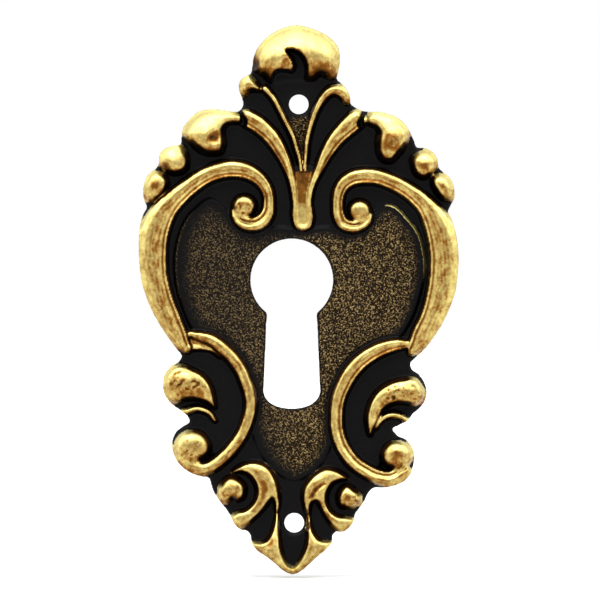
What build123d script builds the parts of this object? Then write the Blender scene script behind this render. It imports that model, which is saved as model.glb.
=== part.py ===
from build123d import *

import os
from math import cos, radians, sin, sqrt

from numpy import interp

# A keyhole escutcheon for a drawer or a cabinet door: one brass casting with rococo scrolls.
# Millimetres. +X is to the right, +Z is up and the front faces -Y. The flat back lies in the
# plane Y = 0, and the origin is the centre of the keyhole's round bow on that back face.
# A place on the front is given as (x, z).

# Plate
GROUND = 1.4  # thickness of the smooth ground between the scrolls
PANEL_STEP = 0.25  # rise of the pebbled panel above that ground
LEDGE = 0.2  # ground that shows beyond a scroll or a knob at the outline
SEAT = 0.9  # height above the back at which scrolls and knobs start, inside the plate

# Keyhole: a round bow over a slot that widens downwards
BOW_RADIUS = 4.2
SLOT_NECK_WIDTH = 4.9
SLOT_FOOT_WIDTH = 5.8
SLOT_CORNER_DROP = 11.7  # from the bow's centre to the slot's lower corners
SLOT_DROP = 13.1  # from the bow's centre to the lowest point of the slot

# Holes for the two pins, countersunk at the front
PIN_RADIUS = 1.0
PIN_SINK_RADIUS = 1.3
PIN_SINK_ANGLE = 90
TOP_PIN = (0.71, 17.86)
BOTTOM_PIN = (0.25, -24.7)

# Scrolls: stations of (x, z, half width) along the middle of each rib
RIB_RISE = 1.9  # rise above the ground of a rib of the half width below
RIB_HALF_WIDTH = 1.2  # a narrower rib stands lower, by the square root of its width
SECTION_PITCH = 1.05  # distance between the sections that a rib is lofted through
BEVEL_WIDTH = 0.68  # share of a rib's half width at which its steep side turns to its crest
BEVEL_HEIGHT = 0.76  # share of a rib's height at which it does so

LEFT_VOLUTE = [
    (-5.7, 6.7, 0.5),
    (-4.2, 5.6, 0.65),
    (-2.7, 6.7, 0.6),
    (-2.4, 8.6, 0.55),
    (-3.5, 10.5, 0.75),
    (-6.0, 11.35, 0.9),
    (-9.1, 10.3, 0.9),
]
LEFT_FRAME = [
    (-11.9, 8.1, 1.1),
    (-13.6, 6.0, 1.35),
    (-14.1, 2.5, 1.25),
    (-13.6, -1.0, 1.15),
    (-12.1, -4.2, 1.1),
    (-10.7, -7.2, 0.3),
]
RIGHT_VOLUTE = [
    (8.0, 6.3, 0.45),
    (6.6, 5.2, 0.55),
    (5.1, 5.9, 0.55),
    (4.6, 7.9, 0.5),
    (5.6, 10.1, 0.65),
    (8.0, 10.65, 0.75),
    (11.0, 9.6, 0.75),
]
RIGHT_FRAME = [
    (13.2, 8.0, 0.85),
    (14.9, 6.0, 1.15),
    (15.7, 2.5, 1.05),
    (15.3, -1.0, 1.05),
    (13.8, -4.5, 1.1),
    (12.2, -7.4, 0.3),
]
LEFT_LOWER_SCROLL = [
    (-10.6, -5.5, 0.4),
    (-8.5, -5.9, 0.55),
    (-6.0, -7.9, 0.65),
    (-4.5, -10.4, 0.65),
    (-4.3, -13.6, 0.65),
    (-5.7, -16.6, 0.65),
]
LEFT_LOWER_CURL = [
    (-7.6, -18.5, 0.6),
    (-9.5, -19.1, 0.65),
    (-11.3, -18.0, 0.3),
]
RIGHT_LOWER_SCROLL = [
    (12.4, -6.1, 0.4),
    (10.6, -6.4, 0.55),
    (8.2, -7.4, 0.65),
    (5.8, -9.6, 0.65),
    (4.55, -12.6, 0.65),
    (4.7, -15.8, 0.65),
    (6.0, -18.2, 0.65),
]
RIGHT_LOWER_CURL = [
    (7.8, -19.5, 0.6),
    (9.8, -20.15, 0.6),
    (11.9, -18.9, 0.25),
]
STEM = [
    (1.15, 5.6, 0.95),
    (1.05, 8.0, 1.0),
    (1.05, 10.4, 1.2),
    (1.15, 12.0, 0.6),
]
LEFT_PALMETTE = [
    (0.3, 9.4, 0.35),
    (-0.5, 11.9, 0.45),
    (-1.9, 14.3, 0.55),
    (-4.5, 16.3, 0.8),
]
RIGHT_PALMETTE = [
    (2.0, 9.4, 0.35),
    (3.1, 12.0, 0.45),
    (4.4, 14.3, 0.6),
    (6.7, 16.2, 0.9),
]
LEFT_STALK = [
    (1.0, 11.2, 0.22),
    (0.2, 14.3, 0.24),
    (-1.4, 17.4, 0.26),
    (-2.7, 19.6, 0.3),
]
RIGHT_STALK = [
    (1.5, 11.2, 0.24),
    (1.7, 14.3, 0.26),
    (2.75, 17.8, 0.3),
    (3.4, 19.0, 0.38),
    (4.5, 19.5, 0.45),
    (5.5, 18.2, 0.3),
]
LEFT_SHOULDER = [
    (-5.9, 16.6, 0.45),
    (-7.0, 16.1, 1.1),
    (-8.1, 15.5, 1.85),
    (-9.3, 14.9, 1.95),
    (-10.4, 14.3, 1.2),
    (-10.8, 14.1, 0.5),
]
RIGHT_SHOULDER = [
    (7.7, 16.4, 0.45),
    (8.8, 16.0, 0.95),
    (9.9, 15.2, 1.6),
    (10.6, 14.2, 1.8),
    (11.0, 13.2, 1.3),
    (11.2, 12.6, 0.5),
]
LEFT_LOW_KNOB = [
    (-14.35, 8.5, 0.3),
    (-14.15, 9.1, 0.8),
    (-13.9, 9.8, 0.92),
    (-13.65, 10.5, 0.8),
    (-13.45, 11.1, 0.3),
]
RIGHT_LOW_KNOB = [
    (15.95, 8.3, 0.3),
    (15.7, 8.9, 0.7),
    (15.45, 9.5, 0.82),
    (15.2, 10.1, 0.7),
    (14.95, 10.7, 0.3),
]
CROWN_BALL = [
    (-3.7, 22.2, 0.8),
    (-2.9, 22.35, 1.9),
    (-1.4, 22.65, 2.75),
    (0.45, 22.8, 2.95),
    (2.3, 22.65, 2.75),
    (3.8, 22.35, 1.9),
    (4.6, 22.2, 0.8),
]
LEFT_LEAF = [
    (-12.45, -10.9, 0.8),
    (-11.6, -10.6, 1.6),
    (-10.5, -10.5, 1.75),
    (-9.4, -10.8, 1.3),
    (-8.4, -11.9, 0.8),
    (-7.9, -14.0, 0.3),
]
RIGHT_LEAF = [
    (13.05, -11.6, 0.7),
    (12.3, -11.3, 1.5),
    (11.2, -11.2, 1.5),
    (9.6, -11.8, 1.1),
    (8.5, -13.3, 0.8),
    (8.1, -15.5, 0.3),
]
LEFT_BOTTOM_SCROLL = [
    (-5.6, -19.4, 0.3),
    (-4.2, -19.1, 0.55),
    (-2.9, -20.1, 0.8),
    (-2.7, -21.8, 0.85),
    (-3.7, -23.5, 0.8),
    (-4.7, -24.3, 0.85),
    (-5.6, -24.8, 0.4),
]
RIGHT_BOTTOM_SCROLL = [
    (5.6, -20.0, 0.3),
    (4.2, -19.8, 0.55),
    (2.8, -20.7, 0.75),
    (2.7, -22.3, 0.8),
    (3.7, -23.9, 0.8),
    (4.6, -24.5, 0.85),
    (5.5, -25.0, 0.4),
]
LEFT_TAIL_LEAF = [
    (-2.6, -21.6, 0.5),
    (-1.35, -23.4, 0.3),
    (-1.9, -25.2, 0.6),
    (-2.4, -26.6, 1.2),
    (-1.3, -28.4, 0.7),
    (0.2, -29.6, 0.2),
]
RIGHT_TAIL_LEAF = [
    (2.3, -21.4, 0.35),
    (1.5, -23.5, 0.3),
    (2.2, -25.2, 0.6),
    (2.6, -26.6, 1.2),
    (1.5, -28.4, 0.7),
    (-0.1, -29.6, 0.2),
]

# Knobs: (x, z, radius, rise above the ground)
KNOB_FLATS = 12  # small flats around a knob
KNOB_TURNS = [radians(degrees) for degrees in (10, 45, 72)]  # where its ball top is cut in flats
STEM_FOOT = (1.15, 5.9, 1.0, 1.65)
LEFT_CROWN_LOBE = (-4.2, 19.6, 1.0, 1.7)
LEFT_MID_KNOB = (-11.9, 12.4, 1.2, 2.0)
RIGHT_MID_KNOB = (13.6, 12.1, 1.15, 2.0)
LEFT_VOLUTE_EYE = (-4.75, 7.5, 1.0, 1.8)
RIGHT_VOLUTE_EYE = (6.9, 7.1, 1.05, 1.8)
LEFT_LOWER_BALL = (-9.95, -17.0, 1.7, 2.2)
RIGHT_LOWER_BALL = (10.6, -18.0, 1.55, 2.2)
LEFT_BOTTOM_EYE = (-5.9, -21.3, 1.05, 1.6)
RIGHT_BOTTOM_EYE = (5.9, -22.1, 1.0, 1.6)
KNOBS = [
    STEM_FOOT,
    LEFT_CROWN_LOBE,
    LEFT_MID_KNOB,
    RIGHT_MID_KNOB,
    LEFT_VOLUTE_EYE,
    RIGHT_VOLUTE_EYE,
    LEFT_LOWER_BALL,
    RIGHT_LOWER_BALL,
    LEFT_BOTTOM_EYE,
    RIGHT_BOTTOM_EYE,
]

# Ribs in the order in which they grow out of each other: no two of one list meet
MAIN_RIBS = [
    LEFT_VOLUTE + LEFT_FRAME,
    RIGHT_VOLUTE + RIGHT_FRAME,
    STEM,
    CROWN_BALL,
    LEFT_SHOULDER,
    RIGHT_SHOULDER,
    LEFT_LEAF,
    RIGHT_LEAF,
    LEFT_BOTTOM_SCROLL,
    RIGHT_BOTTOM_SCROLL,
]
BRANCH_RIBS = [
    LEFT_LOWER_SCROLL + LEFT_LOWER_CURL,
    RIGHT_LOWER_SCROLL + RIGHT_LOWER_CURL,
    LEFT_PALMETTE,
    RIGHT_PALMETTE,
    LEFT_LOW_KNOB,
    RIGHT_LOW_KNOB,
    LEFT_TAIL_LEAF,
]
LAST_RIBS = [
    LEFT_STALK,
    RIGHT_STALK,
    RIGHT_TAIL_LEAF,
]

# Pebbled panel: its edge shows at the two sides, and the rest of it runs under the scrolls
PANEL_LEFT_EDGE = [(-8.3, 8.3), (-10.8, 6.0), (-11.85, 1.5), (-11.1, -3.0), (-9.0, -6.2)]
PANEL_RIGHT_EDGE = [(10.6, -6.6), (12.6, -3.2), (13.7, 1.5), (12.8, 4.8), (9.9, 7.6)]
PANEL_TONGUE = [(-4.4, -14.2), (-3.0, -17.6), (0.2, -20.4), (3.3, -18.0), (4.5, -14.6)]

# Notch under the crown ball, a comma that leans to the left
CROWN_NOTCH = [(0.3, 19.2), (0.3, 21.6), (-0.45, 23.2), (0.8, 23.0), (1.5, 21.9), (1.6, 19.2)]

# Outline under each side leaf: the tip of its lower lobe and the notch above the ball
LEFT_LEAF_FOOT = (-11.5, -13.1)
LEFT_LEAF_NOTCH = (-10.2, -14.3)
RIGHT_LEAF_FOOT = (12.4, -13.8)
RIGHT_LEAF_NOTCH = (10.2, -15.2)

# Ground around the two eyes at the bottom: (x, z, half width, half height)
LEFT_EYE_GROUND = (-6.2, -21.1, 1.9, 1.9)
RIGHT_EYE_GROUND = (5.9, -21.9, 1.8, 1.7)

THROUGH = 10  # reach of a cut that goes through the casting
FRONT = Vector(0, -1, 0)


def places(pieces):
    """The (x, z) places of stations or knobs."""
    return [(piece[0], piece[1]) for piece in pieces]


def sections(stations):
    """Even sections of a rib: the middle of each, the way the rib runs there and its half width."""
    with BuildLine(Plane.XZ.offset(SEAT)):
        spine = Spline(*places(stations))
    marks = [spine.param_at_point(Vector(x, -SEAT, z)) for x, z, half_width in stations]
    half_widths = [half_width for x, z, half_width in stations]
    spans = max(len(stations), round(spine.length / SECTION_PITCH))
    steps = [step / spans for step in range(spans + 1)]
    return [(spine @ step, spine % step, float(interp(step, marks, half_widths))) for step in steps]


def rib(stations):
    """A raised rib with two bevels on each side of its crest, along a smooth curve."""
    with BuildPart() as ridge:
        for middle, along, half_width in sections(stations):
            height = GROUND - SEAT + RIB_RISE * sqrt(half_width / RIB_HALF_WIDTH)
            with BuildSketch(Plane(middle, x_dir=FRONT.cross(along), z_dir=along)):
                with BuildLine():
                    Polyline(
                        (-half_width, 0),
                        (-BEVEL_WIDTH * half_width, BEVEL_HEIGHT * height),
                        (0, height),
                        (BEVEL_WIDTH * half_width, BEVEL_HEIGHT * height),
                        (half_width, 0),
                        close=True,
                    )
                make_face()
        loft(ruled=True)
    return ridge.part


def footing(stations):
    """The plate under a rib: a band that is wider than the rib by the ledge on each side."""
    edges = {1: [], -1: []}
    for middle, along, half_width in sections(stations):
        for side in edges:
            reach = side * (half_width + LEDGE)
            edges[side].append((middle.X - reach * along.Z, middle.Z + reach * along.X))
    with BuildSketch(Plane.XZ) as foot:
        with BuildLine():
            Polyline(*edges[1], *edges[-1][::-1], close=True)
        make_face()
    return foot.sketch


def knob(x, z, radius, rise):
    """A round knob that starts inside the plate, cut in small flats that close to a flat peak."""
    middle = GROUND + rise - radius
    rings = [(SEAT, radius)]
    rings += [(middle + radius * sin(turn), radius * cos(turn)) for turn in KNOB_TURNS]
    with BuildPart() as ball:
        for height, ring_radius in rings:
            with BuildSketch(Plane((x, -height, z), (1, 0, 0), FRONT)):
                RegularPolygon(ring_radius, KNOB_FLATS)
        loft(ruled=True)
    return ball.part


with BuildPart() as escutcheon:
    # Flat plate: it fills the ring of knobs and scrolls, and shows as a ledge around them
    with BuildSketch(Plane.XZ):
        with BuildLine():
            Polyline(
                *places([*CROWN_BALL[-2:0:-1], LEFT_CROWN_LOBE, LEFT_PALMETTE[-1]]),
                *places([*LEFT_SHOULDER[:-1], LEFT_MID_KNOB, *LEFT_LOW_KNOB[::-1]]),
                *places([*LEFT_FRAME[1:], LEFT_LEAF[1], LEFT_LEAF_FOOT, LEFT_LEAF_NOTCH]),
                *places([LEFT_LOWER_BALL, *LEFT_LOWER_CURL[1::-1], LEFT_BOTTOM_EYE]),
                *places([LEFT_BOTTOM_SCROLL[-2], *LEFT_TAIL_LEAF[-3:]]),
                *places([*RIGHT_TAIL_LEAF[-2:-4:-1], RIGHT_BOTTOM_SCROLL[-2]]),
                *places([RIGHT_BOTTOM_EYE, *RIGHT_LOWER_CURL[:2], RIGHT_LOWER_BALL]),
                *places([RIGHT_LEAF_NOTCH, RIGHT_LEAF_FOOT, RIGHT_LEAF[1], *RIGHT_FRAME[:0:-1]]),
                *places([*RIGHT_LOW_KNOB, RIGHT_MID_KNOB, *RIGHT_SHOULDER[-2::-1]]),
                *places([RIGHT_PALMETTE[-1], RIGHT_STALK[-1]]),
                close=True,
            )
        make_face()
        for stations in MAIN_RIBS + BRANCH_RIBS + LAST_RIBS:
            add(footing(stations))
        for x, z, radius, rise in KNOBS:
            with Locations((x, z)):
                Circle(radius + LEDGE)
        for x, z, half_width, half_height in (LEFT_EYE_GROUND, RIGHT_EYE_GROUND):
            with Locations((x, z)):
                Ellipse(half_width, half_height)
    extrude(amount=GROUND)

    # Pebbled panel around the keyhole
    with BuildSketch(Plane.XZ.offset(SEAT)):
        with BuildLine():
            left_edge = Spline(*PANEL_LEFT_EDGE)
            right_edge = Spline(*PANEL_RIGHT_EDGE)
            tongue = Spline(*PANEL_TONGUE)
            Polyline(left_edge @ 1, *places(LEFT_LOWER_SCROLL[2:5]), tongue @ 0)
            Polyline(tongue @ 1, *places(RIGHT_LOWER_SCROLL[4:1:-1]), right_edge @ 0)
            Polyline(
                right_edge @ 1,
                *places([*RIGHT_VOLUTE[:2], STEM[0], *LEFT_VOLUTE[1::-1]]),
                left_edge @ 0,
            )
        make_face()
    extrude(amount=GROUND - SEAT + PANEL_STEP)

    # Scrolls and knobs
    for ribs in (MAIN_RIBS, BRANCH_RIBS, LAST_RIBS):
        add([rib(stations) for stations in ribs])
    add([knob(*shape) for shape in KNOBS])

    # Notch under the crown ball
    with BuildSketch(Plane.XZ.offset(GROUND + PANEL_STEP)):
        with BuildLine():
            side = Spline(*CROWN_NOTCH)
            Line(side @ 1, side @ 0)
        make_face()
    extrude(amount=THROUGH, mode=Mode.SUBTRACT)

    # Keyhole
    with BuildSketch(Plane.XZ):
        Circle(BOW_RADIUS)
        with BuildLine():
            slot = Polyline(
                (-SLOT_FOOT_WIDTH / 2, -SLOT_CORNER_DROP),
                (-SLOT_NECK_WIDTH / 2, 0),
                (SLOT_NECK_WIDTH / 2, 0),
                (SLOT_FOOT_WIDTH / 2, -SLOT_CORNER_DROP),
            )
            ThreePointArc(slot @ 1, (0, -SLOT_DROP), slot @ 0)
        make_face()
    extrude(amount=THROUGH, both=True, mode=Mode.SUBTRACT)

    # Pin holes
    with Locations(*[Plane((x, -GROUND, z), (1, 0, 0), FRONT) for x, z in (TOP_PIN, BOTTOM_PIN)]):
        CounterSinkHole(PIN_RADIUS, PIN_SINK_RADIUS, GROUND, PIN_SINK_ANGLE)

escutcheon.part.label = "escutcheon_plate"
os.makedirs("parts", exist_ok=True)
export_step(escutcheon.part, "parts/escutcheon_plate.step")
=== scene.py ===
from math import radians

import bmesh
import bpy
import numpy as np
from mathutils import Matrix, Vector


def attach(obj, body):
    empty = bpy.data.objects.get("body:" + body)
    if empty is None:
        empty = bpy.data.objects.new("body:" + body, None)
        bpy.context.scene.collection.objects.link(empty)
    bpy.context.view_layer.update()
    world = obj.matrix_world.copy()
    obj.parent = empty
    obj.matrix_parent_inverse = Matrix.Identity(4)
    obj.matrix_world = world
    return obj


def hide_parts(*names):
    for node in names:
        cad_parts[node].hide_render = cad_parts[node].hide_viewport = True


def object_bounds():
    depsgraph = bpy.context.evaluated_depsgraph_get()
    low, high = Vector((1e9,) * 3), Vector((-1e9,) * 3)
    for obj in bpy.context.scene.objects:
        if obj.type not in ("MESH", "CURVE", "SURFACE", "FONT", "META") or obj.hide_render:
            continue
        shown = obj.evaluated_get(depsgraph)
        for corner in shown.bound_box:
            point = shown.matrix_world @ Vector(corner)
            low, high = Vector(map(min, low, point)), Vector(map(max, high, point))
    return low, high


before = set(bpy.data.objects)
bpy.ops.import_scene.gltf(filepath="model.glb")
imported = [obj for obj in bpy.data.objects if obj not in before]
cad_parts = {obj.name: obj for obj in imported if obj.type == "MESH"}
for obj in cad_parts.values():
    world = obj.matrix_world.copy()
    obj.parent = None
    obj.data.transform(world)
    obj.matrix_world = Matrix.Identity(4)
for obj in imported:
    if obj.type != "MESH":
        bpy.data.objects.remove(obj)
cad_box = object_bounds()

# Escutcheon: one brass casting, blackened all over and then polished on its raised scrolls.
# It lies with its flat back on the wood, and two pins through the small holes hold it.
# Its front is a relief over a fine grid, in millimetres: x to the right and z up from the keyhole.
GRID = 0.109
GROUND = 1.4
LINE_STEP = 0.06
across_places = np.arange(-15.9, 17.3, GRID)
up_places = np.arange(-30.3, 26.3, GRID)
X, Z = np.meshgrid(across_places, up_places)
height = np.full(X.shape, GROUND)
polish = np.zeros(X.shape)
# Stains of brown lacquer with painted shade, and below zero painted highlights that make tops and edges pale
stain_shade_and_highlight = np.zeros(X.shape)


def flow(stations, closed=False):
    """Close points along a smooth curve through stations, with what else each station carries."""
    given = np.array(stations, float)
    if closed:
        given = np.vstack([given[-2:], given, given[:3]])
    marks = np.append(0, np.cumsum(np.hypot(*np.diff(given[:, :2], axis=0).T)))
    slopes = np.gradient(given, marks, axis=0)
    first, last = (marks[2], marks[-3]) if closed else (0, marks[-1])
    steps = np.linspace(first, last, int((last - first) / LINE_STEP) + 2)
    if closed:
        steps = steps[:-1]
    span = np.clip(np.searchsorted(marks, steps, side="right") - 1, 0, len(marks) - 2)
    length = (marks[span + 1] - marks[span])[:, None]
    part = (steps[:, None] - marks[span][:, None]) / length
    start = (1 + 2 * part) * (1 - part) ** 2 * given[span] + part * (1 - part) ** 2 * length * slopes[span]
    end = part ** 2 * (3 - 2 * part) * given[span + 1] + part ** 2 * (part - 1) * length * slopes[span + 1]
    return start + end


def distance(points, reach=2.0):
    """The distance to a smooth closed line, up to a reach, negative inside it."""
    line = flow(points, closed=True)
    nearest = np.full(X.shape, reach)
    inside = np.zeros(X.shape, bool)
    for (x0, z0), (x1, z1) in zip(line, np.roll(line, -1, axis=0)):
        rows = (up_places >= min(z0, z1)) & (up_places < max(z0, z1))
        crossing = x0 + (up_places[rows] - z0) * (x1 - x0) / (z1 - z0 + 1e-12)
        inside[rows] ^= across_places < crossing[:, None]
        window = np.ix_(abs(up_places - z0) < reach, abs(across_places - x0) < reach)
        nearest[window] = np.minimum(nearest[window], np.hypot(X[window] - x0, Z[window] - z0))
    return np.where(inside, -nearest, nearest)


# The outline of the casting, clockwise from the top of the crown
outline = distance([
    (0.5, 25.88), (1.3, 25.75), (2.2, 25.48), (3.3, 24.98), (4.15, 24.35), (4.7, 23.6), (4.87, 22.8),
    (4.85, 21.9), (4.7, 21.1), (4.6, 20.4), (5.0, 20.0), (5.55, 19.35), (5.9, 18.6), (6.0, 17.9),
    (6.5, 17.5), (7.1, 17.2), (8.0, 17.1), (9.0, 17.05), (10.0, 16.8), (11.1, 16.2), (11.9, 15.2),
    (12.4, 14.2), (12.7, 13.5), (13.5, 13.4), (14.3, 13.0), (14.8, 12.2), (14.95, 11.4), (15.4, 10.95),
    (16.1, 10.3), (16.5, 9.3), (16.5, 8.3), (16.1, 7.5), (15.9, 7.0), (16.2, 6.2), (16.55, 5.1),
    (16.8, 3.9), (16.92, 2.7), (16.92, 1.6), (16.8, 0.2), (16.6, -1.2), (16.2, -2.4), (15.7, -3.6),
    (15.0, -4.9), (14.2, -6.1), (13.4, -7.1), (12.6, -7.9), (12.05, -8.5), (12.15, -9.0), (12.9, -9.6),
    (13.5, -10.5), (13.7, -11.4), (13.5, -12.3), (13.0, -13.0), (12.3, -13.6), (11.8, -14.25),
    (10.9, -14.75), (10.25, -15.15), (10.7, -15.8), (11.6, -16.25), (12.2, -17.0), (12.45, -17.9),
    (12.35, -18.8), (12.1, -19.6), (11.5, -20.35), (10.5, -20.85), (9.3, -21.1), (8.2, -21.2), (7.8, -21.6),
    (7.4, -22.4), (6.85, -23.2), (6.45, -23.8), (6.25, -24.5), (5.8, -25.2), (5.1, -25.6), (4.5, -25.6),
    (4.15, -25.95), (4.1, -26.6), (3.5, -27.35), (2.6, -28.1), (1.9, -28.75), (1.1, -29.45), (0.1, -29.9),
    (-0.9, -29.5), (-1.7, -28.8), (-2.6, -28.1), (-3.6, -27.4), (-4.1, -26.6), (-4.2, -25.9), (-4.6, -25.5),
    (-5.2, -25.35), (-5.75, -24.9), (-6.1, -24.2), (-6.6, -23.4), (-7.3, -22.5), (-7.9, -21.6),
    (-8.2, -20.8), (-8.4, -20.15), (-9.2, -19.95), (-10.1, -19.65), (-11.0, -19.1), (-11.7, -18.3),
    (-12.1, -17.4), (-12.15, -16.4), (-11.8, -15.5), (-11.0, -14.85), (-10.4, -14.4), (-10.6, -13.85),
    (-11.4, -13.2), (-12.3, -12.5), (-12.9, -11.6), (-13.1, -10.6), (-12.9, -9.6), (-12.3, -8.8),
    (-11.5, -8.3), (-11.2, -7.8), (-11.7, -7.0), (-12.5, -5.9), (-13.3, -4.7), (-14.1, -3.3), (-14.7, -1.9),
    (-15.15, -0.5), (-15.4, 1.0), (-15.52, 2.6), (-15.52, 4.2), (-15.4, 5.6), (-15.1, 6.7), (-14.75, 7.4),
    (-15.0, 8.1), (-15.1, 9.0), (-14.95, 9.9), (-14.5, 10.8), (-13.8, 11.35), (-13.5, 11.8), (-13.45, 12.6),
    (-12.9, 13.3), (-12.1, 13.6), (-11.3, 13.8), (-11.2, 14.6), (-11.0, 15.5), (-10.4, 16.3), (-9.5, 17.05),
    (-8.3, 17.35), (-7.1, 17.25), (-6.1, 17.1), (-5.3, 17.2), (-4.95, 17.8), (-5.1, 18.6), (-5.35, 19.3),
    (-5.3, 20.1), (-4.8, 20.6), (-4.2, 20.95), (-4.0, 21.7), (-3.9, 22.5), (-3.6, 23.3), (-3.0, 24.15),
    (-2.15, 24.93), (-1.15, 25.47), (-0.3, 25.77),
])

# Keyhole and pin holes: cast through, a round bow over a slot that widens downwards
BOW_RADIUS = 4.2
PIN_RADIUS = 1.0
bow_turns = np.radians(np.linspace(-51, 231, 48))
keyhole = distance(
    [(BOW_RADIUS * np.cos(turn), BOW_RADIUS * np.sin(turn)) for turn in bow_turns]
    + [(-2.62, -4.6), (-2.68, -6.5), (-2.76, -8.5), (-2.84, -10.5), (-2.86, -11.5), (-2.6, -12.1)]
    + [(-1.9, -12.7), (-1.0, -13.0), (0, -13.1), (1.0, -13.0), (1.9, -12.7), (2.6, -12.1)]
    + [(2.86, -11.5), (2.84, -10.5), (2.76, -8.5), (2.68, -6.5), (2.62, -4.6)]
)
top_pin = np.hypot(X - 0.71, Z - 17.86)
bottom_pin = np.hypot(X - 0.25, Z + 24.7)

# Panel: pebbled, one low step above the smooth ground
PANEL_STEP = 0.25


def ease(low, high, value):
    """A smooth step from 0 at low to 1 at high."""
    share = np.clip((value - low) / (high - low), 0, 1)
    return share * share * (3 - 2 * share)


panel = distance([
    (-8.3, 8.3), (-9.9, 7.2), (-10.8, 6.0), (-11.5, 4.2), (-11.85, 1.5), (-11.6, -1.0), (-11.1, -3.0),
    (-10.2, -4.9), (-8.5, -6.4), (-6.0, -8.5), (-4.7, -11.0), (-4.4, -14.2), (-3.4, -17.2),
    (-1.6, -19.6), (0.2, -20.4), (2.2, -19.6), (3.8, -17.4), (4.5, -14.6), (5.0, -11.4),
    (6.6, -8.8), (9.0, -7.1), (10.9, -5.9), (12.3, -3.7), (13.0, -1.7), (13.4, 0.2), (13.5, 2.0),
    (13.3, 3.2), (12.8, 4.8), (11.9, 6.0), (9.9, 7.6), (8.0, 6.6), (6.4, 5.0), (3.5, 5.4), (1.1, 5.2),
    (-1.5, 5.4), (-4.2, 5.2), (-6.0, 6.6),
])
height += PANEL_STEP * ease(-0.08, 0.08, -panel)

# Frames: each runs from a volute over the top and down one side, with a bead along its inner edge.
# They are flat ribs, rounded at their sides, whose polished faces keep brown streaks of lacquer.
SEAT = 0.9
RIB_RISE = 1.9
RIB_HALF_WIDTH = 1.2
RIB_SPREAD = 0.1
BEAD_WIDTH = 0.5
SEAM_WIDTH = 0.1
STREAKS = 15
MELT = 0.12
everywhere = np.ix_(up_places < np.inf, across_places < np.inf)
chance = np.random.default_rng(7)


def soften(field, times, step=1):
    """Blur a field over a few grid steps, the more times the wider."""
    for turn in range(times):
        field = field / 2 + sum(np.roll(field, shift, axis) for axis in (0, 1) for shift in (-step, step)) / 8
    return field


def beside(stations):
    """Where each place lies across a rib: 0 on its middle, 1 at its left edge, -1 at its right edge."""
    line = flow(stations)
    line[:, 2] += RIB_SPREAD
    along = np.gradient(line[:, :2], axis=0)
    reach = line[:, 2].max() + 0.3
    rows = (up_places > line[:, 1].min() - reach) & (up_places < line[:, 1].max() + reach)
    columns = (across_places > line[:, 0].min() - reach) & (across_places < line[:, 0].max() + reach)
    window = np.ix_(rows, columns)
    nearest = np.full(X[window].shape, 9.0)
    side = np.ones(nearest.shape)
    half_width = np.ones(nearest.shape)
    for (x, z, width), (run_x, run_z) in zip(line, along):
        off_x = X[window] - x
        off_z = Z[window] - z
        away = np.hypot(off_x, off_z) / width
        closer = away < nearest
        nearest[closer] = away[closer]
        side[closer] = np.where(run_x * off_z - run_z * off_x > 0, 1, -1)[closer]
        half_width[closer] = width
    return window, nearest * side, half_width


def swell(window, raised, shine):
    """Melt a raised form into the relief and polish its upper part."""
    before = height[window]
    melt = np.clip(MELT - abs(before - raised), 0, None) ** 2 / (4 * MELT)
    height[window] = np.maximum(before, raised) + melt
    under = polish[window] * (1 - ease(0.0, 0.35, raised - before))
    polish[window] = np.maximum(under, shine * ease(-0.08, 0.12, raised - before))


def arch(place):
    """A flat arch: 1 over the middle, with steep sides that come down at 1 and -1."""
    return np.clip(1 - abs(place) ** 3, 0, 1) ** (1 / 3)


def rib(stations, grooves=(), lift=1, bead=0):
    """Raise a flat rib with a bead on one side and fine grooves, each (place across, width, depth)."""
    window, place, half_width = beside(stations)
    crest = (GROUND - SEAT) + lift * RIB_RISE * np.sqrt(half_width / RIB_HALF_WIDTH)
    inner = place * bead
    beaded = abs(bead) * ease(0.4, 0.65, half_width)
    split = np.clip(1 - BEAD_WIDTH / half_width, 0.4, 0.67)
    face = arch((2 * inner + 1 - split) / (1 + split))
    edging = 0.97 * arch((2 * inner - 1 - split) / (1 - split))
    parted = np.maximum.reduce([face, edging, 0.87 * (abs(place) < 0.9)])
    bow = arch(place) * (1 - beaded) + parted * beaded
    raised = np.where(abs(place) < 1, SEAT + crest * bow, 0)
    # The colour of the rib: brown streaks of lacquer on its face and a darker seam, with painted highlights
    # that make the rounded sides, the bead, a line beside the seam and all of a thin rib pale; the outer side
    # of a beaded rib is paler too.
    past = (inner - split) * half_width
    seam = beaded * np.exp(-(past / SEAM_WIDTH) ** 2)
    face_lip_highlight = np.exp(-((past + 2.5 * SEAM_WIDTH) / SEAM_WIDTH) ** 2)
    lip_highlights = beaded * (ease(SEAM_WIDTH, 2 * SEAM_WIDTH, past) + face_lip_highlight)
    shine = ease(0.0, 0.4, bow) * (1 - 0.3 * seam)
    streaks = 0.5 + 0.5 * np.sin(STREAKS * place * half_width + 1.5 * waver[window])
    brushed_and_highlit = (0.25 + 0.4 * streaks) * ease(0.9, 0.5, abs(place)) - 0.25 * ease(0.6, 0.9, abs(place))
    brushed_and_highlit += 1.1 * seam - 0.8 * lip_highlights - 2 * ease(0.55, 0.4, half_width)
    brushed_and_highlit += beaded * (0.1 * ease(-0.4, 0.3, inner) - 0.3 * ease(-0.1, -0.6, inner))
    stain_shade_and_highlight[window] = np.where(raised > height[window], brushed_and_highlit, stain_shade_and_highlight[window])
    for middle, width, depth in grooves:
        cut = np.exp(-((place - middle) * half_width / width) ** 2)
        raised -= depth * cut
        shine *= 1 - np.clip(4 * depth, 0, 0.9) * cut
    swell(window, raised, shine)


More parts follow.
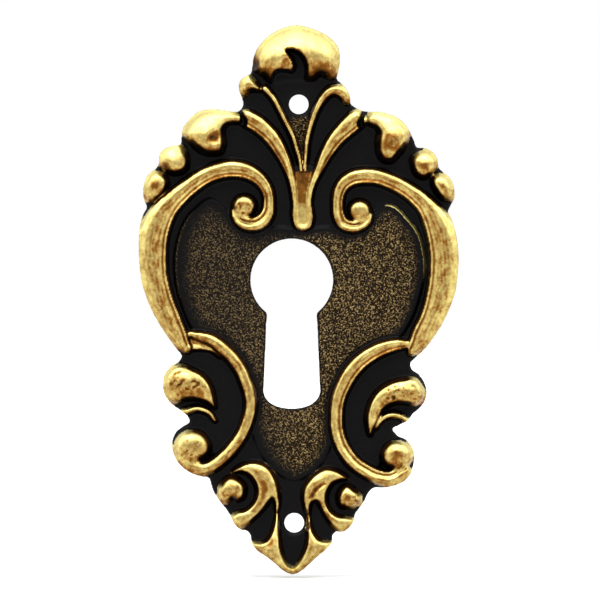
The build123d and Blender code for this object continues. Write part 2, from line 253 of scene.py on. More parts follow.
def dome(x, z, half_width, half_height, rise):
    """Raise an oval knob."""
    bow = arch(np.hypot((X - x) / half_width, (Z - z) / half_height))
    # Browner in the middle, with a painted highlight that makes the rim pale
    stain_shade_and_highlight[:] = np.where(bow > 0.3, 0.6 * ease(0.8, 0.97, bow) - 0.2, stain_shade_and_highlight)
    raised = np.where(bow > 0, SEAT + (GROUND - SEAT + rise) * bow, 0)
    swell(everywhere, raised, ease(0.0, 0.4, bow))


def hollow(points, depth, brown, black=0):
    """Press in a soft hollow where brown lacquer with painted shade, or some of the black, is left."""
    share = soften(ease(-0.1, 0.35, -distance(points)), 3)
    height[:] -= depth * share
    stain_shade_and_highlight[:] = np.maximum(stain_shade_and_highlight, brown * share)
    polish[:] *= 1 - black * share


waver = soften(chance.standard_normal(X.shape), 60)
waver /= waver.std()
rib([
    (-5.9, 7.0, 0.28), (-5.75, 6.5, 0.4), (-5.3, 6.0, 0.55), (-4.7, 5.65, 0.66), (-3.8, 5.6, 0.72),
    (-2.95, 6.0, 0.74), (-2.4, 6.8, 0.66), (-2.3, 7.7, 0.55), (-2.4, 8.8, 0.55), (-2.9, 9.8, 0.62),
    (-3.9, 10.7, 0.75), (-5.0, 11.15, 0.85), (-6.2, 11.25, 0.88), (-7.6, 11.0, 0.86), (-9.0, 10.4, 0.86),
    (-10.3, 9.5, 0.9), (-11.5, 8.5, 1.0), (-12.6, 7.4, 1.15), (-13.4, 6.2, 1.35), (-13.95, 4.6, 1.45),
    (-14.12, 2.6, 1.42), (-13.95, 0.2, 1.36), (-13.3, -2.2, 1.3), (-12.35, -4.3, 1.18), (-11.5, -5.8, 0.9),
    (-10.7, -7.0, 0.4),
], grooves=[(-0.62, 0.12, 0.05), (-0.28, 0.1, 0.035), (0.12, 0.14, 0.06)], bead=1)
rib([
    (8.0, 6.6, 0.25), (7.75, 6.0, 0.4), (7.0, 5.5, 0.52), (6.1, 5.35, 0.6), (5.2, 5.7, 0.62),
    (4.75, 6.5, 0.6), (4.65, 7.5, 0.56), (4.75, 8.7, 0.6), (5.25, 9.7, 0.68), (6.2, 10.35, 0.76),
    (7.4, 10.55, 0.8), (8.7, 10.45, 0.78), (10.0, 10.0, 0.77), (11.3, 9.35, 0.79), (12.6, 8.45, 0.86),
    (13.7, 7.4, 1.0), (14.6, 6.0, 1.3), (15.2, 4.4, 1.46), (15.45, 2.5, 1.47), (15.37, 0.4, 1.41),
    (14.95, -1.9, 1.34), (14.15, -4.0, 1.16), (13.15, -5.7, 0.98), (12.2, -7.2, 0.45),
], grooves=[(0.62, 0.12, 0.05), (0.28, 0.1, 0.035), (-0.12, 0.14, 0.06)], bead=-1)
dome(-4.85, 7.45, 1.3, 1.3, 1.5)
dome(6.9, 7.0, 1.25, 1.25, 1.5)
hollow([
    (-5.7, 6.6), (-5.0, 6.2), (-4.2, 6.2), (-3.7, 6.0), (-4.2, 5.6), (-5.0, 5.7), (-5.6, 6.1),
], 0.25, 1, 0.4)
hollow([
    (5.0, 6.2), (5.6, 5.8), (6.4, 5.75), (7.2, 5.9), (7.2, 5.6), (6.4, 5.4), (5.5, 5.45), (4.9, 5.8),
], 0.25, 0.8, 0.5)
hollow([(-5.6, 7.2), (-5.2, 7.7), (-4.8, 7.4), (-5.1, 7.0)], 0.12, 0.5, 0.3)
hollow([(6.4, 7.4), (7.2, 7.7), (7.6, 7.0), (7.0, 6.4), (6.4, 6.7)], 0.0, 0.45)

# Stem and palmette: a fluted stem that fans out into two broad ribs and two thin stalks
BOSS_SPREAD = 0.12
BOSS_REACH = 3.2


def boss(points, rise, round_off, lean=0):
    """Raise a form with a given outline, rounded off over a width from its edge and leaning up."""
    depth = np.clip(BOSS_SPREAD - distance(points, BOSS_REACH), 0, None)
    inside = soften(np.clip(depth / round_off, 0, 1), 2)
    bow = np.sqrt(1 - (1 - inside) ** 2)
    pillow = soften(soften(depth, 20, 3), 10)
    bow *= 0.7 + 0.3 * pillow / pillow.max()
    low = np.mean([point[1] for point in points])
    raised = np.where(inside > 0.02, SEAT + (GROUND - SEAT + rise - lean * (Z - low)) * bow, 0)
    # Browner inside, with a painted highlight that makes the rim pale
    stain_shade_and_highlight[:] = np.where(raised > height, 0.6 * ease(0.3, 0.9, depth) - 0.2, stain_shade_and_highlight)
    swell(everywhere, raised, ease(0.0, 0.4, bow))


boss([
    (0.05, 6.0), (0.05, 7.0), (0.0, 8.0), (-0.1, 9.0), (-0.3, 10.0), (-0.4, 11.0), (0.2, 11.6), (1.2, 11.9),
    (2.3, 11.6), (2.75, 10.9), (2.4, 9.6), (2.15, 8.6), (2.05, 7.6), (2.15, 6.7), (2.25, 5.9), (2.0, 5.3),
    (1.15, 5.0), (0.3, 5.3),
], 0.9, 0.35, 0.05)
hollow([
    (0.45, 6.5), (0.4, 7.6), (0.35, 8.6), (0.1, 9.8), (-0.1, 11.0), (0.5, 11.8), (1.2, 12.0), (1.9, 11.8),
    (2.5, 11.0), (2.1, 9.8), (1.75, 8.6), (1.7, 7.6), (1.65, 6.5), (1.05, 6.1),
], 0.07, 1.3)
# Its flute is gold at the foot, brown above and black where the stalks come out
flute = (abs(X - 1.1) < 1.6) & (Z > 5) & (Z < 13)
stain_shade_and_highlight *= 1 - 0.7 * flute * ease(8.8, 7.2, Z)
stain_shade_and_highlight += flute * 1.2 * ease(10.2, 11.6, Z)
polish *= 1 - flute * ease(10.9, 11.5, Z + 0.3 * abs(X - 1.15))
rib([
    (1.15, 5.2, 0.26), (0.6, 5.45, 0.3), (0.35, 6.1, 0.3), (0.3, 7.9, 0.28), (0.2, 9.0, 0.34),
    (0.0, 10.1, 0.38), (-0.35, 11.3, 0.46), (-0.8, 12.4, 0.56), (-1.35, 13.4, 0.68), (-2.0, 14.4, 0.77),
    (-2.8, 15.25, 0.83), (-3.6, 15.9, 0.87), (-4.5, 16.4, 0.87),
], grooves=[(-0.5, 0.13, 0.06)], bead=1)
rib([
    (1.15, 5.2, 0.26), (1.7, 5.45, 0.3), (1.9, 6.1, 0.3), (1.8, 7.9, 0.27), (1.9, 9.0, 0.32),
    (2.25, 10.1, 0.36), (2.8, 11.3, 0.44), (3.35, 12.5, 0.56), (4.0, 13.6, 0.7), (4.75, 14.6, 0.82),
    (5.6, 15.45, 0.92), (6.45, 16.2, 0.97),
], grooves=[(0.5, 0.13, 0.06)], bead=-1)
rib([
    (0.95, 11.2, 0.08), (0.8, 12.2, 0.2), (0.5, 13.3, 0.24), (0.1, 14.6, 0.25), (-0.6, 16.0, 0.26),
    (-1.25, 17.3, 0.27), (-1.9, 18.5, 0.3), (-2.7, 19.4, 0.35),
])
rib([
    (1.35, 11.2, 0.08), (1.42, 12.4, 0.21), (1.55, 14.0, 0.26), (1.8, 15.2, 0.28), (2.15, 16.4, 0.32),
    (2.6, 17.5, 0.35), (3.2, 18.5, 0.42), (3.9, 19.15, 0.48), (4.6, 19.25, 0.54), (5.3, 18.85, 0.54),
    (5.65, 18.3, 0.44),
], grooves=[(-0.4, 0.1, 0.08)])

# Crown: a ball split at its lower side by a comma-shaped hollow, with a small lobe at its left


def carve(points, level):
    """Cut a blackened hollow down to a level above the back."""
    share = ease(-0.12, 0.12, -distance(points))
    height[:] = np.where(height > level, height + (level - height) * share, height)
    polish[:] *= 1 - share


boss([
    (0.5, 25.9), (2.0, 25.45), (3.2, 24.9), (4.1, 24.3), (4.65, 23.5), (4.85, 22.7), (4.8, 21.8),
    (4.6, 20.9), (4.2, 20.5), (3.4, 20.55), (2.8, 20.75), (2.3, 20.3), (1.6, 20.25), (0.5, 20.3),
    (-1.0, 20.2), (-2.1, 20.0), (-2.6, 20.4), (-3.1, 20.9), (-3.7, 21.2), (-3.9, 22.2), (-3.6, 23.2),
    (-3.0, 24.1), (-2.1, 24.85), (-0.9, 25.4),
], 2.6, 1.9, 0.12)
# The upper part of the crown is drawn paler: a painted highlight
stain_shade_and_highlight -= 0.7 * ease(21.2, 24.2, Z)
hollow([(-1.4, 21.6), (-1.0, 22.3), (-0.4, 22.7), (0.0, 22.3), (0.1, 21.6), (-0.6, 21.4)], 0.35, 0.9)
hollow([
    (1.7, 21.4), (1.7, 22.6), (2.2, 23.3), (3.2, 23.2), (3.5, 22.2), (3.0, 21.3), (2.2, 21.0),
], 0.0, 0.35)
hollow([(-3.0, 21.2), (-2.7, 22.4), (-2.1, 22.6), (-1.7, 21.9), (-2.1, 20.8)], 0.0, 0.5)
hollow([(-4.2, 21.0), (-4.2, 22.6), (-3.6, 23.6), (-3.2, 23.2), (-3.2, 22.0), (-3.2, 21.0)], 0.1, 1.9, 0.2)
hollow([(3.3, 21.9), (4.0, 22.1), (4.6, 21.6), (4.6, 20.7), (3.6, 20.6), (2.9, 20.9)], 0.05, 0.8)
carve([
    (-2.1, 19.4), (-2.0, 20.3), (-1.75, 20.95), (-1.2, 21.25), (-0.5, 21.2), (0.05, 21.1), (0.25, 21.5),
    (0.1, 22.2), (-0.25, 22.85), (-0.5, 23.25), (0.25, 23.25), (0.85, 22.95), (1.25, 22.4), (1.48, 21.7),
    (1.5, 21.0), (1.4, 20.4), (1.5, 19.4),
], GROUND + 0.1)
boss([
    (-4.3, 20.85), (-3.8, 20.4), (-3.3, 19.8), (-3.05, 19.35), (-3.35, 19.1), (-3.9, 19.2), (-4.5, 18.85),
    (-4.95, 18.6), (-5.2, 19.2), (-5.25, 19.9), (-4.9, 20.55),
], 1.6, 0.65)
hollow([(-4.6, 19.6), (-3.9, 19.5), (-3.9, 19.1), (-4.6, 18.8), (-5.1, 18.9)], 0.2, 0.6, 0.5)

# Shoulder lobes and the knobs that run down from them to the frames
boss([
    (-5.15, 16.85), (-6.0, 17.1), (-7.0, 17.25), (-8.0, 17.3), (-9.0, 17.05), (-9.9, 16.5), (-10.6, 15.6),
    (-10.95, 14.7), (-10.4, 14.1), (-9.9, 13.5), (-9.1, 12.9), (-8.0, 12.75), (-7.1, 12.95), (-6.75, 13.6),
    (-6.85, 14.5), (-6.85, 15.2), (-6.5, 15.75), (-5.9, 15.9), (-5.2, 15.9), (-5.0, 16.4),
], 2.2, 0.9, 0.26)
hollow([
    (-8.7, 14.2), (-8.4, 14.9), (-7.8, 15.3), (-7.25, 15.2), (-7.2, 14.5), (-7.4, 13.9), (-8.0, 13.75),
], 0.3, 1.8)
# The upper part of the left shoulder is drawn paler: a painted highlight
stain_shade_and_highlight -= 0.7 * ease(14.2, 15.6, Z) * ease(-5.6, -7.2, X)
carve([
    (-5.5, 17.4), (-5.1, 17.3), (-4.8, 16.6), (-4.75, 15.6), (-5.15, 15.6), (-5.25, 16.6),
], GROUND + 0.3)
boss([
    (7.45, 16.4), (8.2, 17.1), (9.3, 17.05), (10.4, 16.75), (11.3, 16.0), (11.9, 15.0), (11.8, 14.2),
    (11.5, 13.5), (11.0, 12.8), (10.2, 12.0), (9.2, 12.15), (8.7, 12.8), (8.6, 13.6), (8.65, 14.4),
    (8.75, 15.0), (8.5, 15.4), (8.2, 15.6), (7.7, 15.8),
], 2.2, 0.8, 0.22)
# The upper part of the right shoulder is drawn paler: a painted highlight
stain_shade_and_highlight -= 0.4 * ease(14.8, 16.2, Z) * ease(7.5, 8.5, X)
hollow([(9.3, 13.3), (9.3, 14.6), (10.0, 15.1), (10.9, 14.6), (11.1, 13.7), (10.4, 12.9)], 0.0, 1.0)
carve([(7.5, 17.2), (7.1, 17.1), (6.95, 16.4), (6.85, 15.5), (7.2, 15.4), (7.35, 16.3)], GROUND + 0.3)
boss([
    (-12.0, 13.75), (-11.2, 13.7), (-10.7, 12.9), (-10.45, 12.1), (-10.75, 11.2), (-11.8, 10.75),
    (-12.75, 11.0), (-13.45, 11.8), (-13.45, 12.7), (-12.85, 13.45),
], 1.8, 0.7, 0.28)
hollow([(-13.2, 11.9), (-12.7, 12.1), (-12.2, 11.5), (-12.6, 11.0), (-13.2, 11.3)], 0.1, 1.6)
boss([
    (-14.0, 10.95), (-13.05, 10.8), (-12.55, 10.0), (-12.7, 9.2), (-13.3, 8.4), (-14.0, 8.0), (-14.6, 8.0),
    (-14.95, 8.7), (-14.9, 9.6), (-14.6, 10.4),
], 1.7, 0.65)
hollow([(-14.3, 9.2), (-14.1, 10.2), (-13.5, 10.3), (-13.3, 9.8), (-13.8, 9.0)], 0.0, 1.1)
boss([
    (12.8, 12.9), (13.6, 13.1), (14.4, 12.7), (14.8, 12.0), (14.65, 11.4), (14.2, 10.75), (13.5, 10.3),
    (12.75, 10.55), (12.2, 11.4), (12.15, 12.35),
], 1.8, 0.7, 0.15)
hollow([(13.0, 11.3), (13.0, 12.0), (13.6, 12.3), (14.1, 11.9), (13.9, 11.2), (13.4, 10.9)], 0.0, 1.0)
boss([
    (15.0, 10.7), (15.7, 10.5), (16.2, 9.7), (16.4, 8.9), (16.25, 8.1), (15.8, 8.1), (15.05, 8.4),
    (14.55, 9.1), (14.2, 9.8), (14.35, 10.5),
], 1.7, 0.6)
hollow([(15.0, 9.4), (15.2, 10.0), (15.8, 9.4), (16.0, 8.7), (15.5, 8.8)], 0.0, 1.0)

# Lower scrolls: a C on each side that ends in a ball, with a leaf in its hollow
boss([
    (-10.9, -6.5), (-10.2, -6.0), (-9.2, -6.1), (-8.2, -6.5), (-7.6, -7.15), (-8.6, -7.1), (-9.8, -7.1),
    (-10.6, -7.25),
], 0.8, 0.3)
hollow([
    (-10.5, -6.2), (-9.6, -6.1), (-8.6, -6.4), (-8.0, -6.85), (-9.2, -6.75), (-10.4, -6.7),
], 0.2, 1, 0.2)
rib([
    (-10.3, -5.5, 0.32), (-9.3, -5.75, 0.5), (-8.3, -6.05, 0.62), (-7.2, -6.8, 0.68), (-6.1, -7.85, 0.68),
    (-5.2, -9.1, 0.67), (-4.65, -10.4, 0.66), (-4.25, -11.7, 0.65), (-4.17, -13.0, 0.65),
    (-4.5, -14.4, 0.65), (-5.0, -15.6, 0.64), (-5.8, -16.8, 0.64), (-6.8, -17.9, 0.64),
    (-7.9, -18.75, 0.66), (-9.0, -19.15, 0.72), (-10.1, -18.95, 0.78), (-11.0, -18.2, 0.75),
], grooves=[(-0.4, 0.12, 0.06)])
rib([(-10.5, -7.0, 0.16), (-9.3, -6.95, 0.17), (-8.2, -7.1, 0.18), (-7.2, -7.8, 0.16)], lift=0.9)
dome(-10.4, -6.95, 0.32, 0.5, 1.4)
dome(-10.1, -17.0, 1.9, 1.85, 2.1)
rib([
    (11.7, -6.5, 0.4), (10.6, -6.6, 0.58), (9.4, -6.9, 0.7), (8.2, -7.45, 0.75), (7.0, -8.3, 0.78),
    (6.0, -9.4, 0.78), (5.25, -10.7, 0.75), (4.75, -12.0, 0.7), (4.52, -13.4, 0.68), (4.52, -14.8, 0.68),
    (4.8, -16.2, 0.68), (5.45, -17.5, 0.68), (6.35, -18.6, 0.67), (7.5, -19.4, 0.68), (8.8, -20.0, 0.7),
    (10.1, -20.1, 0.74), (11.3, -19.4, 0.7),
], bead=1)
dome(10.65, -17.85, 1.65, 1.6, 2.1)
hollow([
    (-10.9, -17.4), (-10.6, -16.5), (-9.6, -16.4), (-9.2, -17.0), (-9.6, -17.7), (-10.4, -17.9),
], 0.0, 0.55)
hollow([(9.8, -17.9), (10.2, -17.2), (11.1, -17.2), (11.5, -17.9), (11.1, -18.6), (10.3, -18.5)], 0.0, 0.9)
hollow([
    (-9.6, -18.0), (-9.0, -17.8), (-8.2, -17.4), (-8.1, -18.0), (-8.6, -18.55), (-9.3, -18.6),
], 0.5, 0.6, 0.95)
hollow([
    (9.1, -18.3), (9.6, -18.75), (10.5, -19.0), (10.4, -19.35), (9.6, -19.5), (9.0, -19.2),
], 0.5, 0.6, 0.95)
boss([
    (-11.2, -8.6), (-12.0, -8.85), (-12.6, -9.5), (-12.95, -10.5), (-12.85, -11.6), (-12.4, -12.3),
    (-11.7, -12.45), (-11.0, -12.2), (-10.0, -12.1), (-9.0, -12.3), (-8.3, -12.7), (-7.75, -13.1),
    (-7.8, -12.2), (-8.0, -11.2), (-8.4, -10.3), (-9.0, -9.6), (-9.9, -9.05), (-10.6, -8.75),
], 2.1, 0.5)
hollow([(-9.9, -11.0), (-9.2, -10.9), (-8.7, -11.3), (-8.8, -12.0), (-9.6, -11.95)], 0.25, 0.8, 0.15)
hollow([
    (-11.4, -8.4), (-10.6, -8.6), (-9.6, -9.1), (-10.0, -9.4), (-10.8, -9.1), (-11.3, -9.0),
], 0.2, 0.5, 0.8)
rib([
    (-11.3, -13.4, 0.2), (-10.5, -13.3, 0.26), (-9.8, -13.1, 0.28), (-9.0, -13.2, 0.28),
    (-8.4, -13.5, 0.25), (-7.8, -14.3, 0.14),
])
boss([
    (12.4, -9.95), (13.0, -10.5), (13.35, -11.4), (13.15, -12.3), (12.6, -12.7), (11.8, -12.6),
    (10.8, -12.5), (9.9, -12.75), (9.3, -13.2), (9.05, -13.7), (8.75, -14.4), (8.35, -15.2), (7.95, -15.9),
    (7.6, -15.0), (7.52, -14.0), (7.7, -13.0), (8.1, -12.0), (8.7, -11.2), (9.6, -10.55), (10.6, -10.15),
    (11.5, -10.0),
], 2.1, 0.5)
hollow([
    (8.4, -13.4), (8.9, -12.4), (9.9, -11.8), (10.1, -12.0), (9.2, -12.9), (8.9, -13.8), (8.5, -14.2),
], 0.2, 0.8, 0.15)
hollow([
    (11.6, -10.3), (12.4, -10.5), (12.8, -11.3), (12.6, -11.9), (12.2, -11.2), (11.7, -10.8),
], 0.12, 0.5, 0.45)
rib([
    (11.6, -14.2, 0.2), (11.0, -13.85, 0.26), (10.2, -13.72, 0.28), (9.5, -13.9, 0.28), (9.0, -14.3, 0.25),
    (8.55, -15.0, 0.18),
])

# Bottom scrolls and the tail: two small volutes over a pair of leaves that meet in a point
boss([
    (-6.1, -19.6), (-5.4, -18.95), (-4.5, -18.55), (-3.5, -18.5), (-2.6, -18.85), (-1.9, -19.6),
    (-1.5, -20.5), (-1.3, -21.4), (-1.2, -22.3), (-1.3, -23.3), (-1.55, -23.8), (-1.7, -23.0),
    (-1.95, -22.2), (-2.3, -22.6), (-2.9, -23.4), (-3.7, -24.2), (-4.5, -24.9), (-5.2, -25.2),
    (-5.85, -24.8), (-6.1, -24.1), (-5.6, -23.6), (-4.8, -23.4), (-4.1, -22.9), (-3.65, -22.1),
    (-3.6, -21.2), (-3.9, -20.4), (-4.5, -19.75), (-5.3, -19.5),
], 1.65, 0.45)
hollow([
    (-3.3, -20.2), (-2.6, -20.4), (-2.3, -21.2), (-2.6, -22.1), (-3.2, -22.9), (-4.0, -23.8), (-4.3, -23.6),
    (-3.6, -22.8), (-3.2, -22.0), (-3.1, -21.2),
], 0.15, 1.3)
boss([
    (-6.4, -19.95), (-5.45, -20.2), (-4.8, -20.8), (-4.65, -21.5), (-4.9, -22.2), (-5.6, -22.5),
    (-6.1, -22.2), (-6.5, -22.7), (-7.0, -22.6), (-7.45, -21.8), (-7.4, -21.0), (-7.0, -20.4),
], 1.5, 0.65)
hollow([(-6.3, -21.7), (-5.8, -21.6), (-5.5, -22.1), (-5.9, -22.3)], 0.2, 0.9, 0.3)
hollow([(-7.4, -20.6), (-6.9, -20.4), (-6.8, -20.9), (-7.2, -21.2)], 0.2, 0.5, 0.8)
boss([
    (5.7, -20.2), (5.1, -19.65), (4.3, -19.25), (3.4, -19.15), (2.6, -19.5), (1.8, -20.2), (1.25, -21.0),
    (1.05, -21.9), (1.15, -22.8), (1.45, -23.6), (1.75, -23.95), (1.85, -23.2), (2.2, -22.5), (2.5, -22.5),
    (2.9, -23.2), (3.4, -24.1), (4.0, -24.9), (4.6, -25.4), (5.2, -25.5), (5.85, -25.0), (6.2, -24.3),
    (5.6, -24.1), (4.8, -24.0), (4.1, -23.6), (3.65, -22.9), (3.55, -22.1), (3.75, -21.3), (4.3, -20.6),
    (5.0, -20.35),
], 1.65, 0.45)
hollow([
    (1.7, -22.2), (1.9, -21.5), (2.5, -20.9), (3.4, -20.45), (3.6, -20.7), (3.0, -21.2), (2.5, -21.7),
    (2.2, -22.3),
], 0.4, 2.2, 0.1)
hollow([(2.6, -22.4), (3.0, -22.4), (3.6, -23.5), (4.3, -24.4), (4.0, -24.6), (3.2, -23.6)], 0.0, 0.9)
boss([
    (5.6, -20.8), (4.85, -21.4), (4.6, -22.2), (4.85, -23.0), (5.7, -23.2), (6.3, -23.1), (6.9, -22.6),
    (7.1, -22.0), (6.7, -21.5), (6.2, -21.1),
], 1.5, 0.65)
hollow([(5.3, -22.3), (5.5, -21.5), (6.0, -21.5), (6.1, -22.3), (5.7, -22.7)], 0.05, 0.9)
boss([
    (-1.5, -23.7), (-1.85, -25.0), (-2.2, -25.9), (-2.7, -26.5), (-3.4, -26.7), (-4.0, -26.65),
    (-3.85, -27.15), (-3.2, -27.6), (-2.5, -28.15), (-1.8, -28.75), (-1.0, -29.4), (0.0, -29.85),
    (0.1, -29.3), (-0.4, -29.0), (-0.85, -28.1), (-1.1, -27.0), (-1.2, -26.0), (-1.3, -25.0),
], 1.55, 0.42)
hollow([(-2.9, -26.6), (-2.3, -25.9), (-1.8, -26.4), (-2.0, -27.2), (-2.7, -27.3)], 0.15, 1.3, 0.1)
boss([
    (1.65, -23.7), (1.95, -25.0), (2.3, -25.8), (2.8, -26.35), (3.4, -26.55), (4.0, -26.6), (3.65, -27.2),
    (2.95, -27.75), (2.2, -28.4), (1.5, -29.05), (0.8, -29.6), (0.1, -29.85), (0.2, -29.3), (0.6, -28.8),
    (1.1, -27.9), (1.45, -26.9), (1.55, -26.0), (1.5, -25.0),
], 1.55, 0.42)
hollow([(1.8, -25.8), (2.3, -26.2), (2.3, -27.2), (1.7, -28.0), (1.6, -27.0)], 0.05, 0.9)

# A thin raised line along the step of the panel, with a painted highlight on it, brightest at the right
LINE_RISE = 0.1
LINE_HALF_WIDTH = 0.12
step_ridge_and_highlight = ease(8.8, 10.4, X) * ease(-2.0, 2.5, Z) + 0.8 * ease(-9.5, -11.0, X) * ease(-3.0, 0.0, Z)
step_ridge_and_highlight = step_ridge_and_highlight * ease(8.0, 7.4, Z) * np.exp(-(panel / LINE_HALF_WIDTH) ** 2) * (height < GROUND + 0.5)
height += LINE_RISE * step_ridge_and_highlight
stain_shade_and_highlight -= 0.3 * step_ridge_and_highlight
polish = np.maximum(polish, np.clip(1.5 * step_ridge_and_highlight, 0, 1) * (X > 0))

# Pebbles of the panel, pits in the leaf heads, unevenness of the cast and the dimples of the pin holes
GRAIN_RISE = 0.03
WAVE_RISE = 0.012
PIT_DEPTH = 0.08
DIMPLE_RADIUS = 1.5
DIMPLE_FLOOR = 1.1
near_gold = soften(polish, 60)
pebbled = np.where(X < 0, ease(0.3, 2.7, -panel), ease(0.3, 1.5, -panel)) * (1 - ease(0.02, 0.3, near_gold))
pebbled *= 0.55 + 0.45 * ease(-7.0, 1.0, X)
# On the left the painted highlight of the step line is drawn as tan pebble glints
pebbled = np.maximum(pebbled, 0.8 * step_ridge_and_highlight * (X < 0))
between_stalks = distance([
    (1.1, 12.2), (0.45, 14.6), (-0.3, 16.2), (0.1, 16.6), (0.8, 16.6), (1.5, 16.6), (1.9, 16.2),
    (1.6, 14.6), (1.25, 12.6),
])
pebbled = np.maximum(pebbled, ease(-0.1, 0.25, -between_stalks))
grain = soften(chance.standard_normal(X.shape), 3)
grain /= grain.std()
waves = soften(chance.standard_normal(X.shape), 40)
waves /= waves.std()
height += GRAIN_RISE * pebbled * grain + WAVE_RISE * waves * polish
mottle = soften(chance.standard_normal(X.shape), 4)
mottle /= mottle.std()
for x, z, half_width, half_height in (
    (-10.6, -10.4, 2.7, 2.2), (10.8, -11.6, 3.0, 2.0), (-10.0, -17.0, 1.6, 1.6), (10.7, -17.9, 1.4, 1.4),
    (-4.9, 7.4, 1.3, 1.3), (-6.2, -21.4, 1.2, 1.2), (5.9, -22.2, 1.2, 1.2), (-2.6, -27.0, 1.0, 1.0),
):
    leaf = np.sqrt(np.clip(1 - ((X - x) / half_width) ** 2 - ((Z - z) / half_height) ** 2, 0, 1))
    pits = ease(0.7, 1.7, mottle) * leaf
    height -= PIT_DEPTH * pits
    stain_shade_and_highlight = np.maximum(stain_shade_and_highlight, (0.4 * ease(-0.2, 1.2, mottle) + 1.6 * pits) * leaf)
for pin in (top_pin, bottom_pin):
    dimple = DIMPLE_FLOOR + np.clip(pin - PIN_RADIUS, 0, None)
    polish *= ease(1.1, 1.4, pin)
    height = np.where(pin < DIMPLE_RADIUS, np.minimum(height, dimple), height)

# The forms run on over the edge of the casting, which is a little soft everywhere and rounded there
EDGE_BAND = 0.22
EDGE_ROUND = 0.35
OUTER_FALL = 0.35
HOLE_FALL = 0.12
LOWEST = 0.5
HIGHEST = 4.32
region = np.maximum.reduce([outline, -keyhole, PIN_RADIUS - top_pin, PIN_RADIUS - bottom_pin])
tilt_z, tilt_x = np.gradient(region, GRID)
inward = np.clip(region + EDGE_BAND, 0, None)
row = np.clip((Z - tilt_z * inward - up_places[0]) / GRID, 0, len(up_places) - 1.01)
column = np.clip((X - tilt_x * inward - across_places[0]) / GRID, 0, len(across_places) - 1.01)
below, left = row.astype(int), column.astype(int)
high, right = row - below, column - left
height, polish, stain_shade_and_highlight = (
    (field[below, left] * (1 - right) + field[below, left + 1] * right) * (1 - high)
    + (field[below + 1, left] * (1 - right) + field[below + 1, left + 1] * right) * high
    for field in (height, polish, stain_shade_and_highlight)
)
height = soften(height, 2)
polish = soften(polish, 1)
pebbled *= ease(0.02, 0.25, -region)
edge = np.clip(1 + region / EDGE_ROUND, 0, 1)
height -= np.where(outline > -0.4, OUTER_FALL, HOLE_FALL) * (1 - np.sqrt(1 - edge ** 2))
height = np.clip(height, LOWEST, HIGHEST)

# The tone of the lacquer: brown from the stains, painted shade that browns the slopes facing down, a painted
# highlight that makes the slopes facing up pale and keeps the stains light there, and dark brown on steep
# flanks away from the outline
slope_up, slope_across = np.gradient(height, GRID)
facing_down = soften(slope_up, 6)
steep = soften(np.hypot(slope_up, slope_across), 1) * ease(0.4, 1.4, -outline)
lacquer_and_painted_light = 0.4 * ease(-0.6, 0.0, facing_down) + 0.4 * ease(0.0, 1.1, facing_down)
lacquer_and_painted_light += 0.65 * stain_shade_and_highlight * (0.3 + 0.7 * ease(-0.7, -0.2, facing_down))
lacquer_and_painted_light = np.clip(lacquer_and_painted_light + 1.4 * ease(1.0, 2.0, steep), 0, 2)

# Mesh: the relief inside the outline, with the places beside an edge moved on to it
SNAP_REACH = 0.62 * GRID
steepness = np.clip(tilt_x ** 2 + tilt_z ** 2, 0.2, None)
beside_edge = abs(region) < SNAP_REACH
grid_x = np.where(beside_edge, X - region * tilt_x / steepness, X)
grid_z = np.where(beside_edge, Z - region * tilt_z / steepness, Z)
kept = (region < 0) | beside_edge
first, last = slice(None, -1), slice(1, None)
corners = [(first, first), (first, last), (last, last), (last, first)]
numbers = np.arange(X.size).reshape(X.shape)
held = np.stack([kept[corner] for corner in corners], axis=-1)
places = np.stack([numbers[corner] for corner in corners], axis=-1)
middle = sum(region[corner] for corner in corners) / 4
whole = held.all(axis=-1) & (middle < 0.25 * GRID)
three = (held.sum(axis=-1) == 3) & (middle < 0.5 * GRID)
faces = [tuple(face) for face in places[whole]]
faces += [tuple(face[keep]) for face, keep in zip(places[three], held[three])]
used = np.unique(np.concatenate([np.ravel(face) for face in faces]))
renumber = np.full(X.size, -1)
renumber[used] = np.arange(len(used))
points = np.column_stack([grid_x.ravel(), -height.ravel(), grid_z.ravel()])[used] / 1000

# The walls run from the rim to the flat back, black below the turn
WALL_TURN = 0.88
form = bmesh.new()
front = [form.verts.new(point) for point in points]
for face in faces:
    form.faces.new([front[renumber[number]] for number in face])
rim = [side for side in form.edges if side.is_boundary]
for side in rim:
    side.smooth = False
foot = rim
for level in (WALL_TURN, 0):
    drawn = bmesh.ops.extrude_edge_only(form, edges=foot)["geom"]
    for vert in [made for made in drawn if isinstance(made, bmesh.types.BMVert)]:
        vert.co.y *= level
    foot = [side for side in drawn if isinstance(side, bmesh.types.BMEdge) and side.is_boundary]
for side in foot:
    side.smooth = False
bmesh.ops.triangle_fill(form, edges=foot, use_beauty=True, normal=(0, 1, 0))
bmesh.ops.recalc_face_normals(form, faces=form.faces)
for face in form.faces:
    face.smooth = True
plate_mesh = bpy.data.meshes.new("escutcheon")
form.to_mesh(plate_mesh)
form.free()
spare = len(plate_mesh.vertices) - len(used)
for name, values in (("polish", polish), ("pebbles", pebbled), ("lacquer_and_painted_light", lacquer_and_painted_light)):
    layer = plate_mesh.attributes.new(name, "FLOAT", "POINT")
    layer.data.foreach_set("value", np.append(values.ravel()[used], np.zeros(spare)).astype(np.float32))

# Antique brass, cast, blackened and rubbed back by hand: gold where it is polished, with brown lacquer,
# painted shade and painted highlights in its tone, black patina elsewhere, tan glints on the pebbles. The
# sizes of its patterns are in millimetres.
LACQUER_CLOUD = 0.9
WEAR_SPECK = 0.31
PEBBLE = 0.16


def colour(code):
    """The linear colour of an sRGB hex code."""
    parts = [int(code[place:place + 2], 16) / 255 for place in (1, 3, 5)]
    return [part / 12.92 if part < 0.04045 else ((part + 0.055) / 1.055) ** 2.4 for part in parts] + [1]


